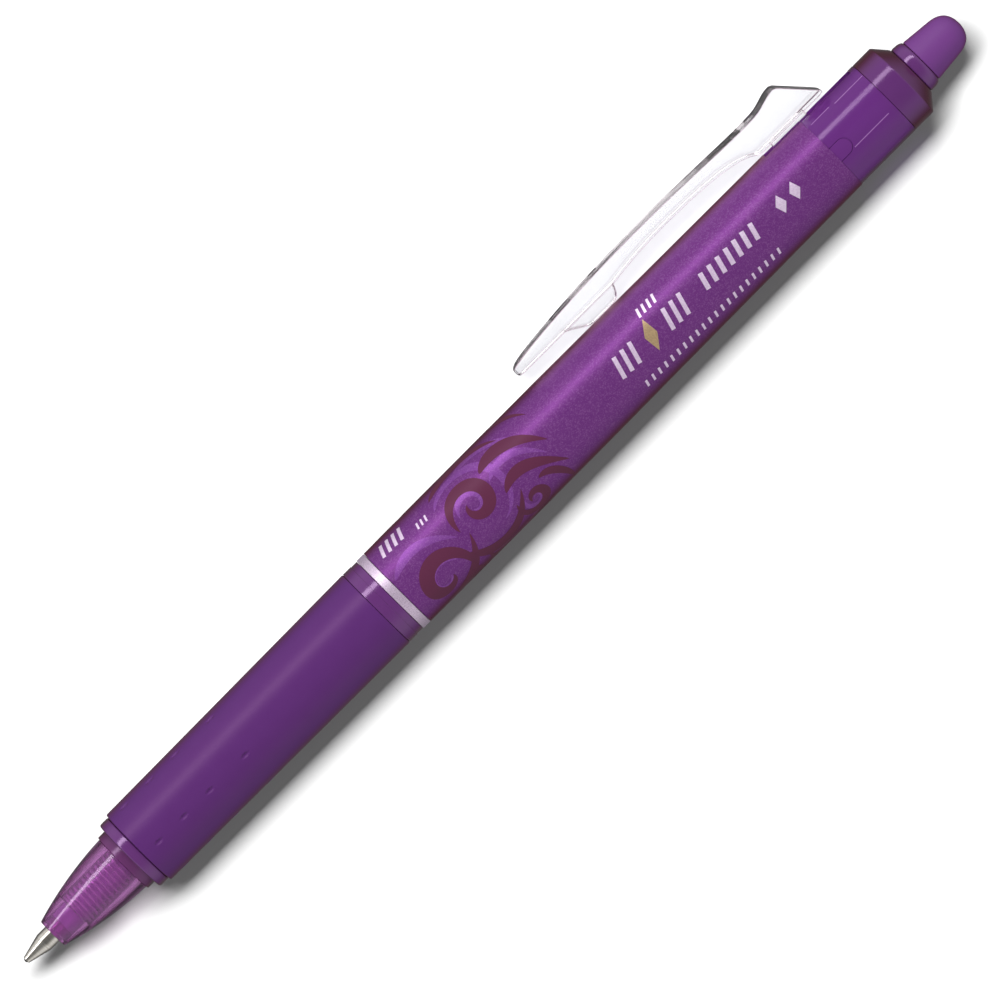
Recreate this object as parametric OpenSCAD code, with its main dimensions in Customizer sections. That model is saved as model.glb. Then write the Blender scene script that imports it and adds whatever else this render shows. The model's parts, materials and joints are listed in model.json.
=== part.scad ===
/* [Overall] */
// Diameter of the barrel at the joint with the grip
barrel_d = 10.2; // [9.8:0.1:10.8]
// Diameter of the crown behind the barrel
crown_d = 9.68; // [9.4:0.02:9.7]
// Diameter of the grip at its front end
grip_front_d = 9.8; // [9.4:0.1:10.2]

/* [Point] */
// Diameter of the writing ball
ball_d = 0.7; // [0.5:0.1:1]
// Diameter of the metal point's cylinder
point_d = 2.2; // [2:0.05:2.3]
// Length of the nose cone that shows
nose_l = 10.7; // [10:0.1:11]
// Diameter of the nose cone's mouth end
nose_front_d = 3.6; // [3.5:0.1:4]
// Diameter of the nose cone's rear end
nose_rear_d = 7.13; // [7:0.05:7.4]

/* [Grip] */
// Number of dimple rows around the grip
dimple_rows = 5; // [4:1:8]
// Depth of a dimple
dimple_depth = 0.16; // [0.1:0.02:0.3]
// Length of a dimple
dimple_l = 1.3; // [0.8:0.1:1.6]

/* [Clip] */
// Width of the clip at its root
clip_root_w = 5; // [4.4:0.1:5.2]
// Width of the clip at its free end
clip_end_w = 3; // [2.6:0.1:4.2]
// Height of the clip's peak above the pen's axis
clip_peak = 9.49; // [9:0.05:10]
// Distance from the pen's axis to the clip's tongue
tongue_height = 5.2; // [5.16:0.02:5.8]
// Width of the clip's tongue
tongue_w = 2.4; // [1.8:0.1:2.8]
// Width of the neck that goes in through the slot
neck_w = 2.2; // [1.8:0.1:2.6]

/* [Mechanism] */
// Travel between point out and point in
travel = 6; // [5:0.25:6]
// Travel past the locked position
over_travel = 1; // [0.5:0.1:1]
// Number of ribs on the cam rotor
ribs = 4; // [3:1:4]
// Wire diameter of the return spring
spring_wire_d = 0.32; // [0.2:0.02:0.34]
// Turns of the return spring
spring_turns = 22; // [16:1:22]

/* [Hidden] */
// Stations along the axis, measured from the writing ball's front
nose_front = 4.2;
nose_rear = nose_front + nose_l;
rim_rear = nose_rear + 1;
grip_front = rim_rear + 1.35;
grip_rear = 53.4;
collar_rear = 55.45;
barrel_front = 56.6;
taper_front = 82;
crown_front = 122.4;
crown_rear = 130.6;
tenon_rear = 132.5;
shoulder_front = 133.3;
shoulder_rear = 134.7;
stud_front = 136.2;
stud_rear = 142;
middle = (barrel_front + taper_front) / 2;

// Radii
barrel_r = barrel_d / 2;
barrel_rear_r = 4.88;
barrel_bore_r = 4.3;
crown_r = crown_d / 2;
crown_bore_r = 3.7;
point_r = point_d / 2;
ball_r = ball_d / 2;
sleeve_r = 4;
sleeve_bore_r = 3.2;
refill_r = 2.5;
refill_bore_r = 2.1;
holder_r = 1.5;
pilot_r = 1.4;

// Clearances: parts that rest on each other, and parts that run
seat_gap = 0.02;
run_gap = 0.05;
slide_gap = 0.1;

// Refill
spring_seat = 7.7;
holder_front = 5.8;
holder_shoulder = 21;
tube_front = 22;
ink_front = 27;
ink_rear = 72;
follower_rear = 78;
plug_front = 89;
refill_rear = 96.5;

// Click mechanism
lip = 3.1;
cup_front = 94;
rib_front = 97.2;
land_front = 100.1;
land_rear = 111;
guide_front = 96;
guide_rear = 114;
rotor_rear = 101.3;
tooth_rise = 0.8;
teeth = 2 * ribs;
plunger_front = rotor_rear + slide_gap;
neck_front = 118.5;
neck_rear = 123.5;
shoe_r = crown_bore_r - slide_gap;
pivot = [121, 2.4];
trunnion_r = 0.6;
slot_clearance = 0.4;

// Clip
clip_front = 81.8;
clip_rear = 126.4;
clip_under = 5.43;
tongue_front = 88.7;
tongue_rear = 96;
peak_at = 122.7;

// The clip leans down until its corner is a hair above the plane that the barrel lies on
rest_gap = 0.02;
corner = norm([clip_peak, clip_root_w / 2]);
lean = asin((barrel_r - rest_gap) / corner) - atan(clip_root_w / 2 / clip_peak);
smooth = 96;

// From the drawing frame (X along the pen from its ball, +Z towards the clip) to the part's own frame
module place() {
    rotate([-90 - lean, 0, 0]) translate([-middle, 0, 0]) children();
}

// A solid of revolution about X from a profile of [station, radius] points
module turned(profile) {
    rotate([0, 90, 0]) rotate_extrude($fn = smooth) polygon([for (p = profile) [p[1], p[0]]]);
}

module tube(from, to, outer, inner = 0) {
    turned([[from, inner], [to, inner], [to, outer], [from, outer]]);
}

// A quarter arc of a profile from angle a to angle b about a centre
function arc(centre, r, a, b, steps = 6) =
    [for (i = [0:steps]) centre + r * [cos(a + (b - a) * i / steps), sin(a + (b - a) * i / steps)]];

// A cubic curve through p0 and p3, drawn towards p1 and p2
function curve(p0, p1, p2, p3, steps = 8) =
    [for (i = [0:steps]) let (u = i / steps, v = 1 - u)
        v * v * v * p0 + 3 * v * v * u * p1 + 3 * v * u * u * p2 + u * u * u * p3];

// Share of a coil's length reached after a share u of its turns, with closed turns at both ends
function coil_share(u, close, slow) =
    u < close ? u * slow :
    u > 1 - close ? 1 - (1 - u) * slow :
    close * slow + (u - close) * (1 - 2 * close * slow) / (1 - 2 * close);

// A round-wire coil about X whose end turns are closed
module coil(from, to, mean_r, wire_r, turns, steps, sides) {
    rings = turns * steps;
    lead = to - from - 2 * wire_r;
    points = [for (i = [0:rings], j = [0:sides - 1])
        let (a = 360 * i / steps, b = 360 * j / sides, r = mean_r + wire_r * cos(b))
            [from + wire_r + lead * coil_share(i / rings, 1.5 / turns, 0.6) + wire_r * sin(b), r * cos(a), r * sin(a)]];
    walls = [for (i = [0:rings - 1], j = [0:sides - 1])
        let (k = (j + 1) % sides, a = i * sides)
            [a + j, a + k, a + sides + k, a + sides + j]];
    front = [[for (j = [sides - 1:-1:0]) j]];
    rear = [[for (j = [0:sides - 1]) rings * sides + j]];
    polyhedron(points, concat(walls, front, rear), convexity = 10);
}

// Prisms that cut a ring of slanted teeth into an end face at a station; rise points into the material
module tooth_cuts(at, rise, high_side) {
    half = PI * lip / teeth;
    for (k = [0:teeth - 1])
        rotate([360 * k / teeth, 0, 0])
            translate([at, 0, 0])
                linear_extrude(barrel_bore_r)
                    polygon([[-rise / 8, -half], [-rise / 8, half], [0, half], [rise, high_side * half], [0, -half]]);
}

module ball() {
    color("silver") place() translate([ball_r, 0, 0]) sphere(ball_r, $fn = smooth);
}

module ball_tip() {
    mouth = 0.18;
    mouth_r = 0.42;
    cone_rear = 2.9;
    tip_rear = 8.9;
    channel_r = 0.2;
    chamber_r = 0.5;
    chamber_front = 1;
    color("gainsboro") place() difference() {
        turned([[mouth, 0], [mouth, mouth_r], [cone_rear, point_r], [tip_rear, point_r], [tip_rear, 0]]);
        translate([ball_r, 0, 0]) sphere(ball_r + 0.015, $fn = smooth);
        tube(ball_r, tip_rear + 1, channel_r);
        tube(chamber_front, tip_rear + 1, chamber_r);
    }
}

module tip_spring() {
    color("silver") place() coil(1.2, 5.4, 0.3, 0.06, 9, 10, 5);
}

module tip_holder() {
    bore_rear = 9;
    spigot_rear = 26.5;
    channel_r = 0.6;
    color("lavender") place() difference() {
        turned([[holder_front, 0], [holder_front, holder_r], [holder_shoulder, holder_r],
            [holder_shoulder, refill_r], [tube_front, refill_r], [tube_front, refill_bore_r - seat_gap],
            [spigot_rear, refill_bore_r - seat_gap], [spigot_rear, 0]]);
        tube(holder_front - 1, bore_rear, point_r + seat_gap);
        tube(bore_rear - 1, spigot_rear + 1, channel_r);
    }
}

module refill_tube() {
    color("mediumpurple") place() tube(tube_front + seat_gap, refill_rear, refill_r, refill_bore_r);
}

module ink() {
    color("indigo") place() tube(ink_front, ink_rear, refill_bore_r - seat_gap);
}

module ink_follower() {
    color("lightyellow") place() tube(ink_rear + seat_gap, follower_rear, refill_bore_r - seat_gap);
}

module refill_plug() {
    vent_r = 0.4;
    color("white") place() tube(plug_front, refill_rear, refill_bore_r - seat_gap, vent_r);
}

module nose_cone() {
    front_r = nose_front_d / 2;
    rear_r = nose_rear_d / 2;
    bulge = 1.375;
    steps = 14;
    mouth_land = 0.5;
    spigot_rear = nose_rear + 4.1;
    spring_bore_r = 2.2;
    lip_round = 0.12;
    outline = [for (i = [0:steps]) let (u = i / steps)
        [nose_front + (nose_l - seat_gap) * u, front_r + (rear_r - front_r + bulge) * u - bulge * u * u]];
    color("purple", 0.6) place() difference() {
        turned(concat([[nose_front, 0], [nose_front, front_r - lip_round]],
            [for (i = [1:steps]) outline[i]],
            [[nose_rear - seat_gap, sleeve_bore_r - seat_gap], [spigot_rear, sleeve_bore_r - seat_gap],
                [spigot_rear, 0]]));
        tube(nose_front - 1, spring_seat, point_r + run_gap);
        tube(nose_front + mouth_land, spring_seat + 1, holder_r + slide_gap);
        tube(spring_seat, spigot_rear + 1, spring_bore_r);
    }
}

module front_collar() {
    collar_r = 4.6;
    round_r = 0.5;
    color("orchid") place() turned(concat(
        [[rim_rear + seat_gap, sleeve_r + seat_gap], [grip_front - seat_gap, sleeve_r + seat_gap],
            [grip_front - seat_gap, collar_r]],
        arc([rim_rear + seat_gap + round_r, collar_r - round_r], round_r, 90, 180)));
}

module front_sleeve() {
    rim_r = 3.8;
    thread_r = barrel_bore_r - run_gap;
    thread_rear = barrel_front + 6;
    color("rebeccapurple") place() turned([[nose_rear, sleeve_bore_r], [nose_rear, rim_r], [rim_rear, rim_r],
        [rim_rear, sleeve_r], [collar_rear, sleeve_r], [collar_rear, thread_r], [thread_rear, thread_r],
        [thread_rear, sleeve_bore_r]]);
}

// The grip's outer radius at a station
function grip_r(at) =
    grip_front_d / 2 + (barrel_r - grip_front_d / 2) * (at - grip_front) / (grip_rear - grip_front);

// A spindle along X that presses one lens-shaped dimple
module dimple(at) {
    bow_r = (dimple_l * dimple_l / 4 + dimple_depth * dimple_depth) / (2 * dimple_depth);
    half_angle = asin(dimple_l / 2 / bow_r);
    translate([at, 0, grip_r(at)])
        turned(arc([0, dimple_depth - bow_r], bow_r, 90 + half_angle, 90 - half_angle));
}

module grip() {
    edge = 0.15;
    spots = [19.4, 23.2, 27.1, 32.45];
    row_start = 23.5;
    color("rebeccapurple") place() difference() {
        turned([[grip_front, sleeve_r + seat_gap], [grip_front, grip_r(grip_front) - edge],
            [grip_front + edge, grip_r(grip_front)], [grip_rear - edge, grip_r(grip_rear)],
            [grip_rear, grip_r(grip_rear) - edge], [grip_rear, sleeve_r + seat_gap]]);
        for (row = [0:dimple_rows - 1], at = spots)
            rotate([row_start + 360 * row / dimple_rows, 0, 0]) dimple(at);
    }
}

module rear_collar() {
    collar_r = barrel_r - seat_gap;
    band_r = barrel_r - 0.08;
    band_front = 54.6;
    color("orchid") place() turned([[grip_rear + seat_gap, sleeve_r + seat_gap], [grip_rear + seat_gap, collar_r],
        [band_front, collar_r], [band_front, band_r], [collar_rear, band_r], [collar_rear, sleeve_r + seat_gap]]);
}

module trim_ring() {
    color("silver") place()
        tube(collar_rear + run_gap, barrel_front - run_gap, barrel_r - seat_gap, barrel_bore_r);
}

module return_spring() {
    mean_r = 1.86;
    color("silver") place() coil(spring_seat + seat_gap, holder_shoulder - seat_gap, mean_r, spring_wire_d / 2,
        spring_turns, 14, 6);
}

// The slot that the clip's neck slides in
module neck_slot(from, width, to) {
    translate([from, -width / 2, 0]) cube([to - from, width, barrel_r + 1]);
}

// A key with a round end that stops the crown turning in the barrel, on the side between clip and belly
module crown_key(grow) {
    key_w = 1.9;
    key_front = crown_front - 1;
    key_end = 124.6;
    key_angle = 90;
    rotate([key_angle, 0, 0])
        linear_extrude(crown_r + 1) {
            translate([key_front, -key_w / 2 - grow]) square([key_end - key_w / 2 - key_front, key_w + 2 * grow]);
            translate([key_end - key_w / 2, 0]) circle(key_w / 2 + grow, $fn = 48);
        }
}

module barrel() {
    key_r = crown_r - seat_gap;
    color("purple") place() difference() {
        union() {
            turned([[barrel_front, barrel_bore_r], [barrel_front, barrel_r], [taper_front, barrel_r],
                [crown_front, barrel_rear_r], [crown_front, barrel_bore_r]]);
            intersection() {
                tube(crown_front - 1, crown_rear, key_r, barrel_bore_r);
                crown_key(0);
            }
        }
        neck_slot(neck_front - over_travel - slot_clearance, neck_w + 3 * slide_gap, crown_front + 1);
    }
}

module cam_guide() {
    slot_w = 1.6;
    color("white") place() {
        tube(guide_front, guide_rear, barrel_bore_r - seat_gap, crown_bore_r);
        difference() {
            tube(land_front, land_rear, crown_bore_r + seat_gap, lip + slide_gap);
            for (i = [0:ribs - 1])
                rotate([360 * i / ribs, 0, 0])
                    translate([land_front - 1, -slot_w / 2, 0])
                        cube([land_rear - land_front + 2, slot_w, crown_bore_r]);
            tooth_cuts(land_front, tooth_rise, -1);
        }
    }
}

module cam_rotor() {
    rib_w = 1;
    rib_rear = land_front - slide_gap;
    stem_rear = 105;
    color("dimgray") place() difference() {
        union() {
            tube(cup_front, rotor_rear, lip);
            tube(rotor_rear - 1, stem_rear, pilot_r);
            for (i = [0:ribs - 1])
                rotate([360 * i / ribs, 0, 0])
                    linear_extrude(crown_bore_r - slide_gap)
                        polygon([[rib_front, -rib_w / 2], [rib_front, rib_w / 2], [rib_rear, rib_w / 2],
                            [rib_rear - 0.4, -rib_w / 2]]);
        }
        tube(cup_front - 1, refill_rear + seat_gap, refill_r + run_gap);
        difference() {
            tooth_cuts(rotor_rear, -tooth_rise, 1);
            tube(rotor_rear - 2, rotor_rear + 1, pilot_r);
        }
    }
}

module plunger() {
    pilot_rear = 108;
    shoe_front = 117.5;
    shoe_rear = 124;
    pocket_gap = 0.3;
    pocket_floor = 1;
    color("mediumpurple") place() difference() {
        turned([[plunger_front, 0], [plunger_front, lip], [shoe_front, lip], [shoe_front, shoe_r],
            [shoe_rear, shoe_r], [shoe_rear, 0]]);
        tube(plunger_front - 1, pilot_rear, pilot_r + slide_gap);
        tooth_cuts(plunger_front, tooth_rise, -1);
        translate([neck_front - pocket_gap, -neck_w / 2 - slide_gap, pocket_floor])
            cube([neck_rear - neck_front + 2 * pocket_gap, neck_w + 2 * slide_gap, shoe_r]);
        translate([pivot[0], 0, pivot[1]]) rotate([90, 0, 0])
            cylinder(h = 4 * shoe_r, r = trunnion_r + run_gap, center = true, $fn = smooth);
    }
}

// The clip's outline seen from the side: outer edge from the free end, slanted rear, underside, free end
function clip_side() = concat(
    curve([clip_front, 7.5], [clip_front + 0.1, 7.86], [clip_front + 0.5, 7.95], [84, 8.2], 5),
    curve([84, 8.2], [88, 8.7], [95, 9.15], [103, 9.12]),
    curve([103, 9.12], [110, 9.1], [116, 8.6], [119.3, 8.8]),
    curve([119.3, 8.8], [120.8, 8.9], [121.3, clip_peak], [peak_at, clip_peak], 6),
    [[peak_at + 0.4, clip_peak - 0.2]],
    [[clip_rear, clip_under + 0.25], [clip_rear, clip_under]],
    [[117.2, clip_under]],
    curve([116.6, 5.6], [115, 6.9], [111, 7.2], [105.3, 7.33]),
    curve([104, 7.33], [101, 7.3], [98.5, 7.1], [tongue_rear, 6.76], 5),
    [[clip_front + 0.2, 6.76], [clip_front, 6.95]]);

// The tongue's outline seen from the side: a shallow bowl with a steep rear wall
function tongue_side() = concat(
    [[tongue_rear, 7]],
    curve([tongue_rear, 6.7], [tongue_rear - 0.3, 5.9], [tongue_rear - 0.6, tongue_height],
        [tongue_rear - 1.6, tongue_height], 5),
    curve([91.8, tongue_height], [90.8, tongue_height], [90, 6.1], [tongue_front, 6.7], 5),
    [[tongue_front, 7]]);

// The clip's outline seen from outside: wide at the root, narrow with a round end at the tongue
module clip_plan() {
    end_r = clip_end_w / 2;
    root_round = 1;
    polygon(concat(
        arc([clip_rear - root_round, clip_root_w / 2 - root_round], root_round, 0, 90),
        [[112, clip_root_w / 2 - 0.15]],
        arc([clip_front + end_r, 0], end_r, 90, 270, 12),
        [[112, 0.15 - clip_root_w / 2]],
        arc([clip_rear - root_round, root_round - clip_root_w / 2], root_round, 270, 360)));
}

module clip() {
    trunnion_l = 4.6;
    foot_floor = 1.3;
    color("lavender", 0.5) place() {
        intersection() {
            rotate([90, 0, 0]) linear_extrude(2 * clip_root_w, center = true) polygon(clip_side());
            linear_extrude(2 * clip_peak) clip_plan();
        }
        rotate([90, 0, 0]) linear_extrude(tongue_w, center = true) polygon(tongue_side());
        translate([neck_front, -neck_w / 2, foot_floor])
            cube([neck_rear - neck_front, neck_w, clip_under + 0.5 - foot_floor]);
        translate([pivot[0], 0, pivot[1]]) rotate([90, 0, 0])
            cylinder(h = trunnion_l, r = trunnion_r, center = true, $fn = smooth);
    }
}

module crown() {
    chamber_rear = 130.2;
    tenon_r = 4.3;
    tenon_bore_r = 3;
    color("purple", 0.7) place() difference() {
        turned([[guide_rear + 0.4, crown_bore_r], [guide_rear + 0.4, barrel_bore_r - seat_gap],
            [crown_front + seat_gap, barrel_bore_r - seat_gap], [crown_front + seat_gap, crown_r],
            [crown_rear, crown_r], [crown_rear, tenon_r], [tenon_rear, tenon_r], [tenon_rear, tenon_bore_r],
            [chamber_rear, tenon_bore_r], [chamber_rear, crown_bore_r]]);
        neck_slot(guide_rear, neck_w + 3 * slide_gap, neck_rear + travel + slot_clearance);
        difference() {
            crown_key(run_gap);
            tube(guide_rear, crown_rear, barrel_bore_r);
        }
    }
}

module top_cap() {
    shoulder_r = 3.15;
    color("indigo") place() turned([[crown_rear + seat_gap, barrel_bore_r + seat_gap],
        [crown_rear + seat_gap, crown_r - seat_gap], [shoulder_front, crown_r - seat_gap], [shoulder_rear, shoulder_r],
        [shoulder_rear, 2.5], [tenon_rear + seat_gap, 2.5], [tenon_rear + seat_gap, barrel_bore_r + seat_gap]]);
}

module eraser_collar() {
    flange_r = 3.1;
    round_r = 0.4;
    stem_r = 2.48;
    bore_r = 2;
    color("purple") place() turned(concat(
        [[tenon_rear + 0.1, bore_r], [tenon_rear + 0.1, stem_r], [shoulder_rear + seat_gap, stem_r]],
        arc([shoulder_rear + seat_gap + round_r, flange_r - round_r], round_r, 180, 90),
        [[shoulder_rear + 1, flange_r - 0.06], [stud_front, 2.8], [stud_front, bore_r]]));
}

module eraser() {
    base_r = 2.75;
    neck_at = 139.6;
    neck_r = 2.42;
    stem_r = 1.98;
    color("mediumpurple") place() turned(concat(
        [[tenon_rear + 0.5, 0], [tenon_rear + 0.5, stem_r], [stud_front + seat_gap, stem_r],
            [stud_front + seat_gap, base_r]],
        curve([neck_at, neck_r], [141.3, 2.3], [stud_rear, 1.4], [stud_rear, 0], 10)));
}

ball();
ball_tip();
tip_spring();
tip_holder();
refill_tube();
ink();
ink_follower();
refill_plug();
nose_cone();
front_collar();
front_sleeve();
grip();
rear_collar();
trim_ring();
return_spring();
barrel();
cam_guide();
cam_rotor();
plunger();
clip();
crown();
top_cap();
eraser_collar();
eraser();
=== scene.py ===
"""The looks of a retractable ball pen with a sprung clip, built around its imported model."""
import json
import logging
import math
from dataclasses import dataclass, field
from enum import Enum

import bpy
import numpy as np
from mathutils import Matrix, Vector


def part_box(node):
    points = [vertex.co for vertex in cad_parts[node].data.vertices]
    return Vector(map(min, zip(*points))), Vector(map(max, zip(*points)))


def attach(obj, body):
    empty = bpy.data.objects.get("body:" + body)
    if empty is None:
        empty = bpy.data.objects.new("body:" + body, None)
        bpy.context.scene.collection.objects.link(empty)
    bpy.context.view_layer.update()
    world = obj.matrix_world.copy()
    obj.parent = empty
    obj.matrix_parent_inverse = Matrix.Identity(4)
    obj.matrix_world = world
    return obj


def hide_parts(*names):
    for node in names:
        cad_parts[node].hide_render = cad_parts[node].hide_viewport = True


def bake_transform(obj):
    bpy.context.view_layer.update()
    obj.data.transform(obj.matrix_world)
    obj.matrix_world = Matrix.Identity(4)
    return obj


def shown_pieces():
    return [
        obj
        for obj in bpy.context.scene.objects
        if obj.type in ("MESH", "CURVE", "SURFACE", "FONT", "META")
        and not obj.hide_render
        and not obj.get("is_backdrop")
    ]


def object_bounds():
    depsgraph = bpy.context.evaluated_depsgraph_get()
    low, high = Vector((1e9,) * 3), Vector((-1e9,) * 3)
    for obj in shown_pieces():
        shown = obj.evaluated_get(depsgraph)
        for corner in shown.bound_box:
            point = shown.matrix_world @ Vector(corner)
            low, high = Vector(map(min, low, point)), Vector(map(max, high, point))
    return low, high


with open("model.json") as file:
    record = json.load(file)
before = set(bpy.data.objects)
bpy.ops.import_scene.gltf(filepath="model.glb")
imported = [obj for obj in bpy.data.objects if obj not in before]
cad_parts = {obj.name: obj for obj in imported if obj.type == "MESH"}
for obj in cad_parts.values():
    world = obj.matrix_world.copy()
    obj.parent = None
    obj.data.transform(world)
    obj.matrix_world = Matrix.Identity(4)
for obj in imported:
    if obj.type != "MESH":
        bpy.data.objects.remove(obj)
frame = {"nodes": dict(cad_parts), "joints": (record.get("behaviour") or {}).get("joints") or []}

LOG = logging.getLogger("pen")
MM = 0.001
TURN = 2 * math.pi
CAD_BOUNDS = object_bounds()
SEGMENTS = 192
CORNER_STEPS = 5
SHARP = math.radians(40)
TINY = 1e-6
WELD_MM = 0.002
BEVEL_SEGMENTS = 3
BEVEL_FROM = math.radians(35)
# The gap between pieces that sit in one another, in millimetres
SEAT_GAP = 0.02
# How far the barrel's rear edge lies behind the crown's front end, in millimetres
CROWN_HIDDEN = 8.0
# How far the clip's own direction lies from the direction that the camera looks from
CLIP_TILT = math.radians(82.3)


class Slot(Enum):
    """The record's material slots."""

    POINT_METAL = "point_metal"
    SPRING_STEEL = "spring_steel"
    CLEAR_PURPLE = "clear_purple"
    CLEAR_PLASTIC = "clear_plastic"
    GRIP_RUBBER = "grip_rubber"
    SLEEVE_PLASTIC = "sleeve_plastic"
    RING_SILVER = "ring_silver"
    BARREL_PAINT = "barrel_paint"
    CAP_PLASTIC = "cap_plastic"
    ERASER_RUBBER = "eraser_rubber"
    INNER_PLASTIC = "inner_plastic"
    REFILL_PLASTIC = "refill_plastic"
    INK = "ink"
    FOLLOWER = "follower"


class Body(Enum):
    """The CAD's moving bodies."""

    BARREL = "barrel"
    RING = "ring"
    FRONT = "front"
    REFILL = "refill"
    BALL = "ball"
    ROTOR = "rotor"
    PLUNGER = "plunger"
    CLIP = "clip"


@dataclass(frozen=True)
class Axes:
    """Directions across the pen: towards the viewer, and across the view towards the clip."""

    view: np.ndarray
    across: np.ndarray

    @classmethod
    def from_joints(cls, joints: list) -> "Axes":
        """Finds the clip's direction from the axis that it flexes about.

        Args:
            joints: the frame's joints.

        Returns:
            The axes.
        """
        flex = next(j for j in joints if j["name"] == "clip_flex")
        side = -np.array(flex["axis"], float)
        clip = np.cross(side, (1.0, 0.0, 0.0))
        view = math.cos(CLIP_TILT) * clip + math.sin(CLIP_TILT) * side
        return cls(view, np.cross(view, (1.0, 0.0, 0.0)))

    def place(self, along: np.ndarray, angle: np.ndarray, radius: np.ndarray) -> np.ndarray:
        """Puts points in the frame from their place around the pen.

        Args:
            along: distance along the pen in millimetres, in the frame's own x.
            angle: turn about the pen from the view direction towards the clip, in radians.
            radius: distance from the axis in millimetres.

        Returns:
            The points in metres, one row of x, y, z for each.
        """
        along, angle, radius = np.broadcast_arrays(along, angle, radius)
        turned = np.cos(angle)[..., None] * self.view + np.sin(angle)[..., None] * self.across
        points = turned * radius[..., None]
        points[..., 0] += along
        return points.reshape(-1, 3) * MM


AXES = Axes.from_joints(frame["joints"])


@dataclass(frozen=True)
class Extent:
    """Where a CAD node starts and ends along the pen, and its largest radius, in millimetres."""

    front: float
    rear: float
    radius: float

    @classmethod
    def of(cls, node: str) -> "Extent":
        """Reads a node's extent from the frame.

        Args:
            node: the CAD node's name.

        Returns:
            The extent.
        """
        low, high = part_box(node)
        reach = max(high.y, -low.y, high.z, -low.z)
        return cls(low.x / MM, high.x / MM, reach / MM)


@dataclass
class Surface:
    """Points and faces of one or more closed pieces."""

    points: np.ndarray
    quads: np.ndarray
    triangles: np.ndarray = field(default_factory=lambda: np.zeros((0, 3), int))

    def outward(self) -> "Surface":
        """Turns every face over if the faces look inwards, judged by the signed volume.

        Returns:
            The same surface.
        """
        corners = np.vstack([self.quads[:, [0, 1, 2]], self.quads[:, [0, 2, 3]], self.triangles])
        a, b, c = (self.points[corners[:, k]] for k in range(3))
        if np.einsum("ij,ij->", a, np.cross(b, c)) < 0:
            self.quads = self.quads[:, ::-1]
            self.triangles = self.triangles[:, ::-1]
        return self

    @staticmethod
    def joined(parts: list) -> "Surface":
        """Puts several surfaces into one.

        Args:
            parts: the surfaces.

        Returns:
            One surface that holds them all.
        """
        starts = np.cumsum([0] + [len(p.points) for p in parts[:-1]])
        return Surface(
            np.vstack([p.points for p in parts]),
            np.vstack([p.quads + s for p, s in zip(parts, starts)]),
            np.vstack([p.triangles + s for p, s in zip(parts, starts)]),
        )

    def build(self, name: str) -> bpy.types.Object:
        """Makes the Blender object, smooth but for its sharp edges.

        Args:
            name: the piece's name.

        Returns:
            The object, at the origin.
        """
        mesh = bpy.data.meshes.new(name)
        mesh.from_pydata(self.points, [], self.quads.tolist() + self.triangles.tolist())
        mesh.polygons.foreach_set("use_smooth", np.ones(len(mesh.polygons), bool))
        mesh.set_sharp_from_angle(angle=SHARP)
        mesh.update()
        piece = bpy.data.objects.new(name, mesh)
        bpy.context.scene.collection.objects.link(piece)
        return piece


def soften(outline: np.ndarray, radius: float) -> np.ndarray:
    """Rounds the corners of an outline.

    A corner p between the directions a and b to its neighbours becomes the curve
    (1 - u)^2 (p + d a) + 2 u (1 - u) p + u^2 (p + d b), with d no more than 0.45 of either edge.
    An outline that starts on the axis keeps its first and last points.

    Args:
        outline: rows of station and radius, in order round a closed outline.
        radius: the rounding's reach along each edge, in millimetres.

    Returns:
        The rounded outline.
    """
    share = 0.45
    before = np.roll(outline, 1, 0) - outline
    after = np.roll(outline, -1, 0) - outline
    long_before = np.linalg.norm(before, axis=1, keepdims=True)
    long_after = np.linalg.norm(after, axis=1, keepdims=True)
    reach = np.minimum(radius, share * np.minimum(long_before, long_after))
    u = np.linspace(0, 1, CORNER_STEPS)[None, :, None]
    start = (outline + before / long_before * reach)[:, None]
    end = (outline + after / long_after * reach)[:, None]
    curve = (1 - u) ** 2 * start + 2 * u * (1 - u) * outline[:, None] + u ** 2 * end
    if outline[0, 1] > TINY:
        return curve.reshape(-1, 2)
    return np.vstack([outline[:1], curve[1:-1].reshape(-1, 2), outline[-1:]])


def bezier(p0: tuple, p1: tuple, p2: tuple, p3: tuple, steps: int) -> np.ndarray:
    """A cubic curve: (1-u)^3 p0 + 3 u (1-u)^2 p1 + 3 u^2 (1-u) p2 + u^3 p3 for u from 0 to 1.

    Args:
        p0, p1, p2, p3: the curve's ends and the two points that it is drawn towards.
        steps: the number of points.

    Returns:
        One row for each point.
    """
    u = np.linspace(0, 1, steps)[:, None]
    v = 1 - u
    return v ** 3 * p0 + 3 * u * v ** 2 * p1 + 3 * u ** 2 * v * p2 + u ** 3 * p3


def grid(rows: int, columns: int, close_rows: bool) -> np.ndarray:
    """Quads over a grid of points whose columns wrap round.

    Args:
        rows: number of rows.
        columns: number of points in a row.
        close_rows: whether the last row joins the first.

    Returns:
        One row of four point numbers for each quad.
    """
    index = np.arange(rows * columns).reshape(rows, columns)
    ahead = np.roll(index, -1, 0)
    if not close_rows:
        index, ahead = index[:-1], ahead[:-1]
    corners = (index, ahead, np.roll(ahead, -1, 1), np.roll(index, -1, 1))
    return np.stack(corners, -1).reshape(-1, 4)


def fans(rings: int, around: int) -> np.ndarray:
    """Triangles that close the two ends of a grid of rings on the two points that come after it.

    Args:
        rings: number of rings.
        around: number of points in a ring.

    Returns:
        One row of three point numbers for each triangle.
    """
    first = np.arange(around)
    last = first + (rings - 1) * around
    hub = rings * around
    front = np.stack([np.full_like(first, hub), first, np.roll(first, -1)], 1)
    rear = np.stack([np.full_like(last, hub + 1), np.roll(last, -1), last], 1)
    return np.vstack([front, rear])


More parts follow.
